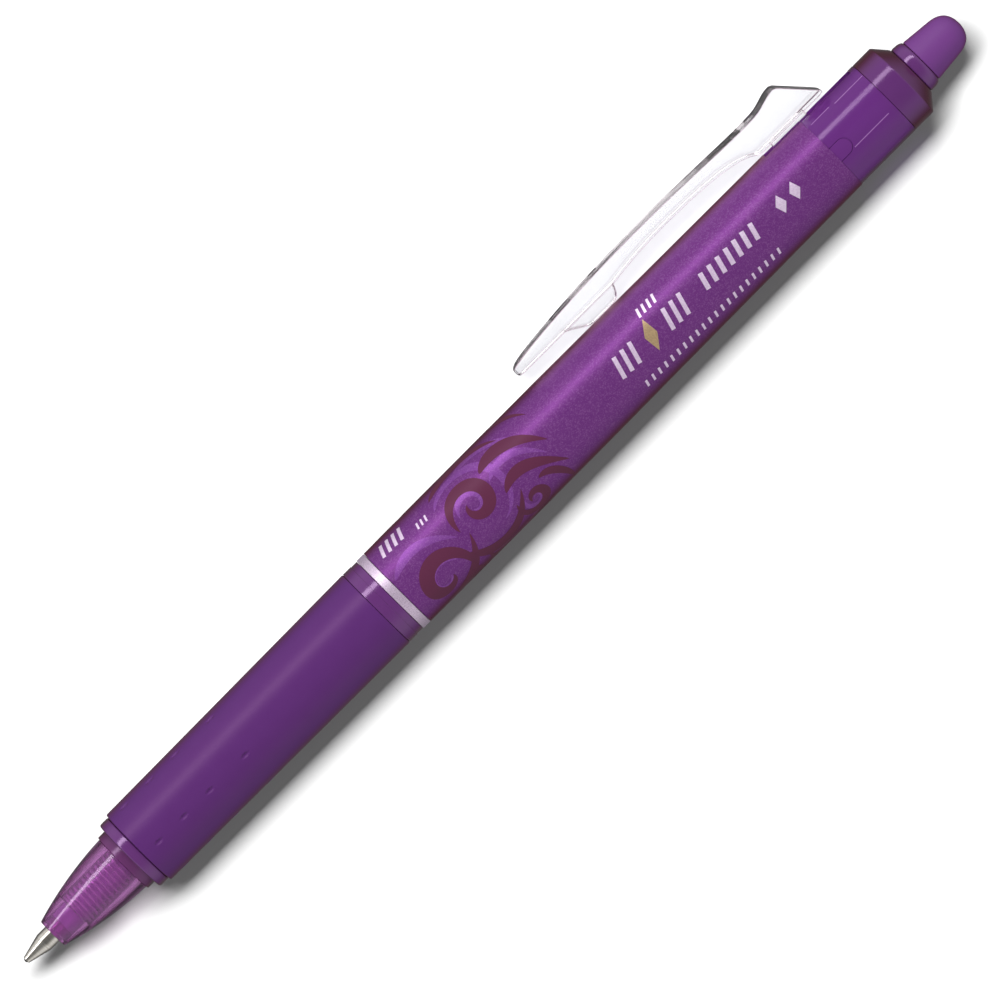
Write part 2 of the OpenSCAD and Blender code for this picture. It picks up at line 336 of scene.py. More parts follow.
def lathe(outline: np.ndarray, angles: np.ndarray = None, relief: np.ndarray = None) -> Surface:
    """An outline turned once about the pen's axis.

    Point (i, j) lies at outline point i's station, at its radius plus the relief, turned by angle j.
    An outline whose ends lie on the axis is closed with one point at each end.

    Args:
        outline: rows of station and radius, in millimetres.
        angles: the turns, in radians; even steps where none are given.
        relief: added to the radius, one row for each outline point and one column for each angle.

    Returns:
        The closed surface.
    """
    poles = outline[0, 1] < TINY
    rings = outline[1:-1] if poles else outline
    if angles is None:
        angles = np.arange(SEGMENTS) * TURN / SEGMENTS
    radius = rings[:, 1, None] + (0 if relief is None else relief)
    points = AXES.place(rings[:, 0, None], angles[None], radius)
    quads = grid(len(rings), len(angles), not poles)
    if not poles:
        return Surface(points, quads).outward()
    ends = np.array([[outline[0, 0], 0, 0], [outline[-1, 0], 0, 0]]) * MM
    return Surface(np.vstack([points, ends]), quads, fans(len(rings), len(angles))).outward()


def capped_tube(rings: np.ndarray) -> Surface:
    """A solid carried along a path: ring i's point j joins ring i + 1's point j, and fans close the ends.

    Args:
        rings: an array of rings by points by x, y, z, in metres.

    Returns:
        The closed surface.
    """
    count, around = rings.shape[:2]
    points = np.vstack([rings.reshape(-1, 3), rings[0].mean(0), rings[-1].mean(0)])
    return Surface(points, grid(count, around, False), fans(count, around)).outward()


class Value:
    """One shader value, which takes part in Python arithmetic."""

    def __init__(self, graph: "Graph", socket: bpy.types.NodeSocket) -> None:
        """Keeps the graph and the output socket."""
        self.graph = graph
        self.socket = socket

    def _math(self, operation: str, *terms: object) -> "Value":
        """Adds one Math node.

        Args:
            operation: what it does.
            terms: what it works on, in order.

        Returns:
            Its result.
        """
        node = self.graph.tree.nodes.new("ShaderNodeMath")
        node.operation = operation
        for slot, term in zip(node.inputs, terms):
            self.graph.feed(slot, term)
        return Value(self.graph, node.outputs[0])

    def __add__(self, other: object) -> "Value":
        """Sum."""
        return self._math("ADD", self, other)

    __radd__ = __add__

    def __sub__(self, other: object) -> "Value":
        """Difference."""
        return self._math("SUBTRACT", self, other)

    def __rsub__(self, other: object) -> "Value":
        """Difference the other way round."""
        return self._math("SUBTRACT", other, self)

    def __mul__(self, other: object) -> "Value":
        """Product."""
        return self._math("MULTIPLY", self, other)

    __rmul__ = __mul__

    def about(self, middle: float, spread: float) -> "Value":
        """The value, from 0 to 1, spread evenly about a middle."""
        return self * spread + (middle - spread / 2)

    def step(self, low: float, high: float) -> "Value":
        """Rises smoothly from 0 at low to 1 at high.

        Args:
            low: the value that gives 0.
            high: the value that gives 1.

        Returns:
            The smooth step.
        """
        settings = {"interpolation_type": "SMOOTHSTEP"}
        inputs = {"Value": self, "From Min": low, "From Max": high}
        return Value(self.graph, self.graph.node("ShaderNodeMapRange", settings, inputs).outputs[0])


class Graph:
    """One node tree."""

    def __init__(self, tree: bpy.types.NodeTree) -> None:
        """Keeps the tree, emptied."""
        self.tree = tree
        self.tree.nodes.clear()

    def feed(self, socket: bpy.types.NodeSocket, item: object) -> None:
        """Links a Value to an input, or sets a constant on it.

        Args:
            socket: the input.
            item: a Value or a constant.
        """
        if isinstance(item, Value):
            self.tree.links.new(item.socket, socket)
        else:
            socket.default_value = item

    def node(self, kind: str, settings: dict = None, inputs: dict = None) -> bpy.types.Node:
        """Adds a node.

        Args:
            kind: the node's type.
            settings: its properties, set first.
            inputs: its inputs by name or number.

        Returns:
            The node.
        """
        node = self.tree.nodes.new(kind)
        for key, value in (settings or {}).items():
            setattr(node, key, value)
        for key, value in (inputs or {}).items():
            self.feed(node.inputs[key], value)
        return node

    def value(self, kind: str, output: str, settings: dict = None, inputs: dict = None) -> Value:
        """Adds a node and gives one of its outputs as a Value."""
        return Value(self, self.node(kind, settings, inputs).outputs[output])

    def place(self, stretch: tuple = (1.0, 1.0, 1.0)) -> Value:
        """The piece's own coordinates in millimetres, times a stretch.

        Args:
            stretch: one factor for each axis.

        Returns:
            The coordinates.
        """
        own = self.value("ShaderNodeTexCoord", "Object")
        scale = tuple(s / MM for s in stretch)
        return self.value("ShaderNodeMapping", "Vector", None, {"Vector": own, "Scale": scale})

    def noise(self, size: float, detail: float = 2.0, stretch: tuple = (1.0, 1.0, 1.0)) -> Value:
        """Soft noise between 0 and 1.

        Args:
            size: the width of one blotch in millimetres.
            detail: how many finer layers it has.
            stretch: a factor on the coordinates for each axis.

        Returns:
            The noise.
        """
        inputs = {"Vector": self.place(stretch), "Scale": 1 / size, "Detail": detail}
        return self.value("ShaderNodeTexNoise", "Fac", None, inputs)

    def flakes(self, size: float) -> Value:
        """A random value for each of many small cells.

        Args:
            size: the width of one cell in millimetres.

        Returns:
            The value, from 0 to 1.
        """
        cell = self.value(
            "ShaderNodeTexVoronoi", "Color", None, {"Vector": self.place(), "Scale": 1 / size}
        )
        return self.value("ShaderNodeSeparateColor", "Red", None, {"Color": cell})

    def mix(self, factor: object, first: object, second: object) -> Value:
        """Blends two colours.

        Args:
            factor: 0 for the first and 1 for the second.
            first: a colour.
            second: a colour.

        Returns:
            The blended colour.
        """
        node = self.node("ShaderNodeMix", {"data_type": "RGBA"})
        sockets = [s for s in node.inputs if s.enabled]
        for slot, item in zip(sockets, (factor, first, second)):
            self.feed(slot, item)
        return Value(self, next(s for s in node.outputs if s.enabled))

    def bump(self, height: Value, depth: float, strength: float = 1.0) -> Value:
        """A normal tipped by a height.

        Args:
            height: the height, from 0 to 1.
            depth: what a height of 1 stands for, in millimetres.
            strength: how much of it shows.

        Returns:
            The normal.
        """
        inputs = {"Height": height, "Distance": depth * MM, "Strength": strength}
        return self.value("ShaderNodeBump", "Normal", None, inputs)

    def along(self) -> Value:
        """The distance along the pen in millimetres, in the frame's own x."""
        split = self.node("ShaderNodeSeparateXYZ", None, {0: self.place()})
        return Value(self, split.outputs["X"])

    def facing(self) -> Value:
        """How much the surface turns away from the eye: 0 facing it, 1 at the outline."""
        return self.value("ShaderNodeLayerWeight", "Facing", None, {"Blend": 0.5})


class Shader(Graph):
    """One material's node tree, with a Principled shader at its end."""

    def __init__(self, name: str) -> None:
        """Starts a material with its shader and output."""
        self.material = bpy.data.materials.new(name)
        self.material.use_nodes = True
        super().__init__(self.material.node_tree)
        self.shader = self.node("ShaderNodeBsdfPrincipled")
        self.output = self.node("ShaderNodeOutputMaterial")
        self.tree.links.new(self.shader.outputs[0], self.output.inputs["Surface"])

    def finish(self, **inputs: object) -> bpy.types.Material:
        """Sets the shader's inputs.

        Args:
            inputs: a Value or a constant for each, by its name with underscores for spaces.

        Returns:
            The material.
        """
        for key, item in inputs.items():
            self.feed(self.shader.inputs[key.replace("_", " ")], item)
        return self.material

    def let_light_through(self, tint: tuple) -> None:
        """Lets shadow rays pass the piece with a tint, in place of a full shadow.

        Args:
            tint: the colour of the light that passes.
        """
        shadow = self.value("ShaderNodeLightPath", "Is Shadow Ray")
        clear = self.node("ShaderNodeBsdfTransparent", None, {"Color": tint})
        both = self.node("ShaderNodeMixShader", None, {0: shadow})
        self.tree.links.new(self.shader.outputs[0], both.inputs[1])
        self.tree.links.new(clear.outputs[0], both.inputs[2])
        self.tree.links.new(both.outputs[0], self.output.inputs["Surface"])


def colour(red: float, green: float, blue: float) -> tuple:
    """A display colour as the linear colour that shaders take.

    A share s of full brightness becomes s / 12.92 up to 0.04045, and ((s + 0.055) / 1.055)^2.4 above it.

    Args:
        red, green, blue: the channels, from 0 to 255.

    Returns:
        The linear channels and an alpha of 1.
    """
    share = np.array([red, green, blue]) / 255
    linear = np.where(share <= 0.04045, share / 12.92, ((share + 0.055) / 1.055) ** 2.4)
    return (*linear.tolist(), 1.0)


@dataclass(frozen=True)
class PearlPaint:
    """Satin paint full of fine flakes, with painted brown shade towards its outline, that stops short of a
    bare rear end.
    """

    base: tuple
    flake: tuple
    # The colour that the paint turns to towards its outline: painted shade.
    outline_shade: tuple
    bare: tuple
    gloss: tuple
    flake_mm: float = 0.1
    roughness: float = 0.36
    metallic: float = 0.32
    flake_share: float = 0.3
    cloud_mm: float = 1.6
    cloud_share: float = 0.1
    # Where the painted outline shade starts and where it is full, as a share of facing.
    outline_shade_band: tuple = (0.38, 0.8)
    spread: float = 0.12
    bare_roughness: float = 0.1
    flake_depth: float = 0.005

    def build(self, name: str) -> bpy.types.Material:
        """Makes the material.

        Args:
            name: its name.

        Returns:
            The material.
        """
        graph = Shader(name)
        cells = graph.flakes(self.flake_mm)
        cloud = graph.noise(self.cloud_mm)
        light = cells.step(0.5, 1.0) * self.flake_share + cloud * self.cloud_share
        body = graph.mix(light, self.base, self.flake)
        # Painted shade: the colour turns to the outline shade as the surface turns away from the eye.
        body = graph.mix(graph.facing().step(*self.outline_shade_band), body, self.outline_shade)
        end = Extent.of("crown").front + CROWN_HIDDEN
        painted = 1 - graph.along().step(end, end + SEAT_GAP)
        satin = cells.about(self.roughness - self.bare_roughness, self.spread)
        return graph.finish(
            Base_Color=graph.mix(painted, self.bare, body),
            Metallic=painted * self.metallic,
            Roughness=satin * painted + self.bare_roughness,
            Specular_IOR_Level=0.28,
            Specular_Tint=self.gloss,
            Normal=graph.bump(cells * painted, self.flake_depth, 0.5),
        )


@dataclass(frozen=True)
class ClearPlastic:
    """Moulded see-through plastic with a tint, a faint haze, slight flow marks and painted shade that
    darkens the tint towards its outline.
    """

    tint: tuple
    # The colour that the tint turns to towards the outline: painted shade.
    outline_shade: tuple
    shadow: tuple
    gloss: tuple = (1.0, 1.0, 1.0, 1.0)
    roughness: float = 0.05
    haze: float = 0.06
    transmission: float = 1.0
    outline_shade_from: float = 0.45
    skin: float = 0.0
    outline_shade_width: float = 0.4
    flow_mm: float = 1.4
    flow_share: float = 0.06
    flow_depth: float = 0.01
    haze_mm: float = 0.7

    def build(self, name: str) -> bpy.types.Material:
        """Makes the material.

        Args:
            name: its name.

        Returns:
            The material.
        """
        graph = Shader(name)
        flow = graph.noise(self.flow_mm, 2.0, (0.35, 1.0, 1.0))
        # Painted shade: the tint darkens to the outline colour as the surface turns away from the eye.
        edge = graph.facing().step(self.outline_shade_from, self.outline_shade_from + self.outline_shade_width)
        tint = graph.mix(edge + flow * self.flow_share, self.tint, self.outline_shade)
        graph.let_light_through(self.shadow)
        return graph.finish(
            Base_Color=tint,
            Roughness=graph.noise(self.haze_mm) * self.haze + self.roughness,
            IOR=1.49,
            Transmission_Weight=self.transmission,
            Coat_Weight=self.skin,
            Coat_Roughness=0.15,
            Specular_Tint=self.gloss,
            Normal=graph.bump(flow, self.flow_depth, 0.4),
        )


@dataclass(frozen=True)
class Satin:
    """Rubber or moulded plastic with a fine grain, a soft or glossy skin, and painted shade towards its
    outline where an outline colour is given.
    """

    base: tuple
    worn: tuple
    # The colour that the surface turns to towards its outline, where one is given: painted shade.
    outline_shade: tuple = None
    roughness: float = 0.5
    grain_mm: float = 0.12
    grain_depth: float = 0.004
    specular: float = 0.3
    gloss: tuple = (1.0, 1.0, 1.0, 1.0)
    outline_shade_from: float = 0.4
    outline_shade_width: float = 0.5
    cloud_mm: float = 2.2
    cloud_share: float = 0.35
    grain_share: float = 0.2
    spread: float = 0.12

    def build(self, name: str) -> bpy.types.Material:
        """Makes the material.

        Args:
            name: its name.

        Returns:
            The material.
        """
        graph = Shader(name)
        cloud = graph.noise(self.cloud_mm, 3.0)
        grain = graph.noise(self.grain_mm)
        body = graph.mix(cloud * self.cloud_share + grain * self.grain_share, self.base, self.worn)
        if self.outline_shade is not None:
            # Painted shade: the colour darkens to the outline colour as the surface turns away from the
            # eye.
            edge = graph.facing().step(self.outline_shade_from, self.outline_shade_from + self.outline_shade_width)
            body = graph.mix(edge, body, self.outline_shade)
        return graph.finish(
            Base_Color=body,
            Roughness=grain.about(self.roughness, self.spread),
            Specular_IOR_Level=self.specular,
            Specular_Tint=self.gloss,
            Normal=graph.bump(grain, self.grain_depth, 0.7),
        )


@dataclass(frozen=True)
class Metal:
    """Turned or plated metal: fine rings round the pen, or a sparkling grain."""

    base: tuple
    dark: tuple
    roughness: float = 0.2
    rings: bool = True
    grain_mm: float = 0.1
    metallic: float = 1.0
    grain_depth: float = 0.003
    spread: float = 0.16

    def build(self, name: str) -> bpy.types.Material:
        """Makes the material.

        Args:
            name: its name.

        Returns:
            The material.
        """
        graph = Shader(name)
        stretch = (1.0, 0.02, 0.02) if self.rings else (1.0, 1.0, 1.0)
        grain = graph.noise(self.grain_mm, 2.0, stretch)
        body = graph.mix(grain.step(0.35, 0.75), self.base, self.dark)
        return graph.finish(
            Base_Color=body,
            Metallic=self.metallic,
            Roughness=grain.about(self.roughness, self.spread),
            Normal=graph.bump(grain, self.grain_depth, 0.5),
        )


@dataclass(frozen=True)
class Print:
    """A hot-stamped foil mark."""

    base: tuple
    flake: tuple
    metallic: float = 0.5
    roughness: float = 0.42
    flake_mm: float = 0.12
    flake_share: float = 0.6
    spread: float = 0.1

    def build(self, name: str) -> bpy.types.Material:
        """Makes the material.

        Args:
            name: its name.

        Returns:
            The material.
        """
        graph = Shader(name)
        cells = graph.flakes(self.flake_mm)
        return graph.finish(
            Base_Color=graph.mix(cells * self.flake_share, self.base, self.flake),
            Metallic=self.metallic,
            Roughness=cells.about(self.roughness, self.spread),
        )


# Painted shade: towards its outline each finish below turns to its outline colour, which for several is
# this brown.
OUTLINE_SHADE_BROWN = colour(80, 38, 54)
LILAC_GLOSS = colour(214, 184, 222)
PLUM_GLOSS = colour(200, 160, 190)
BARE = colour(98, 46, 118)
FINISHES = {
    "pearl_purple": PearlPaint(
        colour(104, 47, 120), colour(156, 106, 164), colour(92, 42, 58), BARE, PLUM_GLOSS
    ),
    "clear_purple": ClearPlastic(
        colour(166, 102, 168), colour(84, 38, 78), colour(232, 228, 232), LILAC_GLOSS, transmission=0.86,
        outline_shade_from=0.15, skin=0.6
    ),
    "crown_purple": ClearPlastic(
        colour(116, 54, 140), colour(84, 40, 62), colour(110, 60, 130), LILAC_GLOSS, 0.1,
        transmission=0.35
    ),
    "clear_plastic": ClearPlastic(
        colour(247, 248, 248), colour(212, 200, 206), colour(236, 236, 238), roughness=0.02, haze=0.03
    ),
    # Painted shade: the clip's bevelled edges take this darker tint, which draws its outline.
    "clip_edge_shade": ClearPlastic(
        colour(196, 168, 182), colour(122, 94, 108), colour(236, 236, 238), roughness=0.04, haze=0.03,
        outline_shade_from=0.3
    ),
    "grip_rubber": Satin(
        colour(82, 37, 102), colour(92, 47, 114), colour(84, 42, 68), 0.38, specular=0.45,
        gloss=PLUM_GLOSS
    ),
    "sleeve_plastic": Satin(
        colour(92, 44, 92), colour(100, 52, 100), OUTLINE_SHADE_BROWN, 0.2, specular=0.7, gloss=LILAC_GLOSS
    ),
    "dark_plastic": Satin(
        colour(92, 44, 106), colour(98, 50, 112), OUTLINE_SHADE_BROWN, 0.14, specular=1.0, gloss=LILAC_GLOSS
    ),
    # Painted highlight: the lighter lines on the crown stand in for glints off its inner edges.
    "painted_glint": Satin(colour(150, 98, 166), colour(160, 108, 176), roughness=0.25, specular=0.6),
    "plunger_plastic": Satin(
        colour(134, 78, 152), colour(142, 86, 160), colour(110, 62, 124), 0.3, specular=0.5
    ),
    "cap_plastic": Satin(
        colour(88, 42, 102), colour(94, 48, 108), colour(72, 28, 42), 0.14, specular=0.7,
        gloss=LILAC_GLOSS, outline_shade_from=0.15
    ),
    "ring_silver": Metal(colour(226, 206, 229), colour(184, 165, 188), 0.46, False, 0.09, 0.65),
    "point_metal": Metal(colour(236, 232, 224), colour(200, 194, 184), 0.18),
    "ball_metal": Metal(colour(74, 68, 70), colour(58, 54, 56), 0.3, False),
    "spring_steel": Metal(colour(250, 240, 250), colour(222, 212, 222), 0.25, metallic=0.35),
    "eraser_rubber": Satin(colour(106, 52, 125), colour(115, 61, 134), colour(102, 50, 98), 0.6, 0.2),
    "inner_plastic": Satin(colour(222, 220, 226), colour(206, 204, 212), roughness=0.4),
    "refill_plastic": Satin(colour(206, 180, 214), colour(186, 158, 198), roughness=0.3),
    "ink": Satin(colour(70, 20, 110), colour(84, 30, 126), roughness=0.2, specular=0.5),
    "follower": Satin(colour(222, 214, 178), colour(208, 198, 158), roughness=0.2, specular=0.5),
    "ornament_dark": Satin(colour(88, 40, 64), colour(96, 46, 72), OUTLINE_SHADE_BROWN, 0.4, 0.16, gloss=PLUM_GLOSS),
    "ornament_light": PearlPaint(
        colour(122, 64, 144), colour(166, 114, 182), colour(100, 50, 70), BARE, PLUM_GLOSS
    ),
    "foil_silver": Print(colour(220, 194, 226), colour(244, 230, 248)),
    "foil_gold": Print(colour(196, 168, 128), colour(158, 132, 104), 0.5, 0.4),
}


class Wardrobe:
    """Makes each finish once and dresses pieces in it."""

    def __init__(self) -> None:
        """Starts with nothing made."""
        self.made = {}

    def get(self, name: str) -> bpy.types.Material:
        """The material of a finish, made at its first use.

        Args:
            name: a key of FINISHES.

        Returns:
            The material.
        """
        if name not in self.made:
            self.made[name] = FINISHES[name].build(name)
        return self.made[name]

    def dress(self, piece: bpy.types.Object, finish: str) -> None:
        """Gives a piece its finish.

        Args:
            piece: the object.
            finish: a key of FINISHES.
        """
        piece.data.materials.clear()
        piece.data.materials.append(self.get(finish))


WARDROBE = Wardrobe()


def add(surface: Surface, name: str, finish: str, slot: Slot, body: Body, *nodes: str) -> None:
    """Puts a new piece in the scene, dressed and riding on its body.

    Args:
        surface: its shape.
        name: its name.
        finish: a key of FINISHES.
        slot: the record's material slot; not used.
        body: the CAD body that it rides on.
        nodes: the CAD nodes that it stands for.
    """
    piece = surface.build(name)
    WARDROBE.dress(piece, finish)
    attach(piece, body.value)
    if nodes:
        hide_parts(*nodes)
    LOG.info("%s: %d points", name, len(surface.points))


def keep(node: str, finish: str, edge: str = "", bevel_mm: float = 0.0) -> None:
    """Dresses a CAD node that stays in view.

    Args:
        node: its name.
        finish: a key of FINISHES.
        edge: the finish of its rounded edges, which on the clip is a darker tint that paints shade along
            them, or an empty name where its edges stay sharp.
        bevel_mm: width of the rounding.
    """
    piece = frame["nodes"][node]
    WARDROBE.dress(piece, finish)
    if edge:
        piece.data.materials.append(WARDROBE.get(edge))
        weld = piece.modifiers.new("joined", "WELD")
        weld.merge_threshold = WELD_MM * MM
        bevel = piece.modifiers.new("edges", "BEVEL")
        bevel.width = bevel_mm * MM
        bevel.segments = BEVEL_SEGMENTS
        bevel.limit_method = "ANGLE"
        bevel.angle_limit = BEVEL_FROM
        bevel.material = 1
        bevel.use_clamp_overlap = False
        bevel.harden_normals = True
    LOG.info("%s: kept from the frame", node)


@dataclass
class Refill:
    """The refill: ball, metal point, tube, ink and plugs."""

    mouth_r: float = 0.42
    socket_r: float = 0.365
    chamber_r: float = 0.5
    channel_r: float = 0.2
    cone_length: float = 2.72
    lip: float = 0.08
    bead: float = 0.02
    crimp_length: float = 0.14
    socket_at: float = 0.17
    seat_at: float = 0.3
    channel_at: float = 0.44
    chamber_at: float = 0.82
    edge: float = 0.05

    def point(self) -> np.ndarray:
        """The metal point's outline: a crimped mouth, a cone, a neck and a stepped bore.

        Returns:
            Rows of station and radius.
        """
        e = Extent.of("ball_tip")
        outside = [
            [0, self.mouth_r - self.lip], [self.bead, self.mouth_r],
            [self.crimp_length, self.mouth_r + self.bead], [self.cone_length, e.radius],
            [e.rear - e.front, e.radius],
        ]
        inside = [
            [e.rear - e.front, self.chamber_r], [self.chamber_at, self.chamber_r],
            [self.chamber_at, self.channel_r], [self.channel_at, self.channel_r],
            [self.seat_at, self.socket_r - self.bead], [self.socket_at, self.socket_r],
        ]
        return np.array(outside + inside) + [e.front, 0]

    def build(self) -> None:
        """Builds the point and dresses the refill's own nodes."""
        shell = soften(self.point(), self.edge)
        add(lathe(shell), "metal_point", "point_metal", Slot.POINT_METAL, Body.REFILL, "ball_tip")
        keep("ball", "ball_metal")
        keep("tip_spring", "spring_steel")
        keep("tip_holder", "refill_plastic")
        keep("refill_tube", "refill_plastic")
        keep("ink", "ink")
        keep("ink_follower", "follower")
        keep("refill_plug", "inner_plastic")


@dataclass
class ReturnSpring:
    """The coil between the nose cone's seat and the refill's shoulder."""

    mean_r: float = 1.86
    wire_r: float = 0.16
    turns: int = 22
    steps: int = 40
    sides: int = 10
    closed_turns: float = 1.5
    closed_pace: float = 0.6

    def build(self) -> None:
        """Builds the coil.

        Ring i's centre turns evenly about the axis and moves along it, slower over the closed end turns;
        its point j lies on a circle of the wire's radius across the coil.
        """
        e = Extent.of("return_spring")
        u = np.linspace(0, 1, self.turns * self.steps + 1)
        close = self.closed_turns / self.turns
        ends = close * self.closed_pace
        share = np.interp(u, [0, close, 1 - close, 1], [0, ends, 1 - ends, 1])
        start = e.front + self.wire_r
        centre = start + (e.rear - self.wire_r - start) * share
        around = np.arange(self.sides) * TURN / self.sides
        along = centre[:, None] + self.wire_r * np.sin(around)[None]
        radius = self.mean_r + self.wire_r * np.cos(around)[None]
        points = AXES.place(along, (u * self.turns * TURN)[:, None], radius)
        piece = capped_tube(points.reshape(len(u), self.sides, 3)).build("return_coil")
        WARDROBE.dress(piece, "spring_steel")
        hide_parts("return_spring")
        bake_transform(piece)
        LOG.info("return_coil: %d points", len(points))


@dataclass
class Front:
    """The front section that unscrews: nose cone, collars, inner sleeve and grip."""

    mouth_r: float = 1.8
    bulge: float = 1.375
    shown_length: float = 10.68
    dimple_rows: int = 5
    dimple_spots: tuple = (2.15, 5.95, 9.85, 15.2)
    dimple_turn: float = math.radians(23.5)
    dimple_length: float = 1.3
    dimple_width: float = 0.55
    dimple_depth: float = 0.16
    spigot_r: float = 3.18
    spring_bore_r: float = 2.2
    spring_seat: float = 3.5
    tip_bore_r: float = 1.6
    tip_seat: float = 0.5
    hole_r: float = 1.15
    sleeve_bore_r: float = 3.2
    sleeve_rim_r: float = 3.8
    sleeve_r: float = 4.0
    ring_bore_r: float = 4.3
    band_drop: float = 0.06
    grip_taper: float = 0.2
    grip_gap: float = 0.03
    grip_edge: float = 0.18

    def nose(self) -> np.ndarray:
        """The nose cone's outline: r = r0 + (r1 - r0 + b) u - b u^2 along it, then its spigot and bores.

        Returns:
            Rows of station and radius.
        """
        e = Extent.of("nose_cone")
        u = np.linspace(0, 1, 25)
        radius = self.mouth_r + (e.radius - self.mouth_r + self.bulge) * u - self.bulge * u ** 2
        shoulder = e.front + self.shown_length
        tail = [
            [shoulder, self.spigot_r], [e.rear, self.spigot_r],
            [e.rear, self.spring_bore_r], [e.front + self.spring_seat, self.spring_bore_r],
            [e.front + self.spring_seat, self.tip_bore_r], [e.front + self.tip_seat, self.tip_bore_r],
            [e.front + self.tip_seat, self.hole_r], [e.front, self.hole_r],
        ]
        outside = np.stack([e.front + self.shown_length * u, radius], 1)
        return np.vstack([outside, tail])

    def sleeve(self) -> np.ndarray:
        """The inner sleeve's outline: front lip, grip seat and threaded rear end.

        Returns:
            Rows of station and radius.
        """
        e = Extent.of("front_sleeve")
        seat = e.front + 1
        thread = Extent.of("rear_collar").rear
        rows = [
            [e.front, self.sleeve_bore_r], [e.front, self.sleeve_rim_r], [seat, self.sleeve_rim_r],
            [seat, self.sleeve_r], [thread, self.sleeve_r], [thread, e.radius],
            [e.rear, e.radius], [e.rear, self.sleeve_bore_r],
        ]
        return np.array(rows)

    def collar(self, node: str, bore: float, step: float = 0.0) -> np.ndarray:
        """A collar's outline, with a shallow step down behind where one is given.

        Args:
            node: the CAD node it stands for.
            bore: its inner radius in millimetres.
            step: the length of its rear band in millimetres.

        Returns:
            Rows of station and radius.
        """
        e = Extent.of(node)
        rows = [[e.front, bore], [e.front, e.radius], [e.rear - step, e.radius]]
        if step:
            band_r = e.radius - self.band_drop
            rows += [[e.rear - step, band_r], [e.rear, band_r]]
        return np.array(rows + [[e.rear, bore]])

    def grip(self) -> Surface:
        """The grip: a long tapering tube with rows of lens-shaped dimples pressed into it.

        A dimple lowers the surface by d (1 - (s / a)^2 - (t / b)^2) inside its ellipse, where s and t are
        the distances from its centre along the pen and round it. The turns are even, with finer ones at
        each row of dimples.

        Returns:
            The closed surface.
        """
        e = Extent.of("grip")
        front_r = e.radius - self.grip_taper
        bore = self.sleeve_r + self.grip_gap
        dimpled = self.dimple_spots[-1] + self.dimple_length
        fine = np.arange(1.0, dimpled, 0.1)
        coarse = np.linspace(dimpled, e.rear - e.front - 1, 24)
        along = np.concatenate([fine, coarse])
        radius = front_r + self.grip_taper * along / (e.rear - e.front)
        outer = np.stack([e.front + along, radius], 1)
        corners = [[e.rear, e.radius], [e.rear, bore], [e.front, bore], [e.front, front_r]]
        outline = np.vstack([soften(np.array(corners), self.grip_edge), outer])
        rows = CLIP_TILT - self.dimple_turn + np.arange(self.dimple_rows) * TURN / self.dimple_rows
        window = np.linspace(-0.09, 0.09, 17)
        even = np.arange(SEGMENTS) * TURN / SEGMENTS
        free = self.off(even, rows).min(1) > window[-1] + 0.01
        angles = np.sort(np.concatenate([even[free], ((rows[:, None] + window) % TURN).ravel()]))
        centres = e.front + np.array(self.dimple_spots)
        off_along = np.abs(outline[:, 0, None] - centres).min(1)[:, None] * 2 / self.dimple_length
        off_round = self.off(angles, rows).min(1)[None] * front_r * 2 / self.dimple_width
        relief = -self.dimple_depth * np.clip(1 - off_along ** 2 - off_round ** 2, 0, None)
        return lathe(outline, angles, relief * (outline[:, 1, None] > bore + 0.5))

    @staticmethod
    def off(angles: np.ndarray, rows: np.ndarray) -> np.ndarray:
        """The turn between each angle and each row of dimples, the shorter way round."""
        return np.abs((angles[:, None] - rows + math.pi) % TURN - math.pi)

    def build(self) -> None:
        """Builds every piece of the front."""
        bore = self.sleeve_r + SEAT_GAP
        clear, front = Slot.CLEAR_PURPLE, Body.FRONT
        nose = lathe(soften(self.nose(), 0.12))
        add(nose, "nose", "clear_purple", clear, front, "nose_cone")
        sleeve = lathe(soften(self.sleeve(), 0.08))
        add(sleeve, "inner_sleeve", "sleeve_plastic", Slot.SLEEVE_PLASTIC, front, "front_sleeve")
        collar = lathe(soften(self.collar("front_collar", bore), 0.4))
        add(collar, "collar_front", "dark_plastic", clear, front, "front_collar")
        add(self.grip(), "grip_skin", "grip_rubber", Slot.GRIP_RUBBER, front, "grip")
        collar = lathe(soften(self.collar("rear_collar", bore, 0.85), 0.06))
        add(collar, "collar_rear", "dark_plastic", clear, front, "rear_collar")
        ring = lathe(soften(self.collar("trim_ring", self.ring_bore_r), 0.1))
        add(ring, "silver_ring", "ring_silver", Slot.RING_SILVER, Body.RING, "trim_ring")


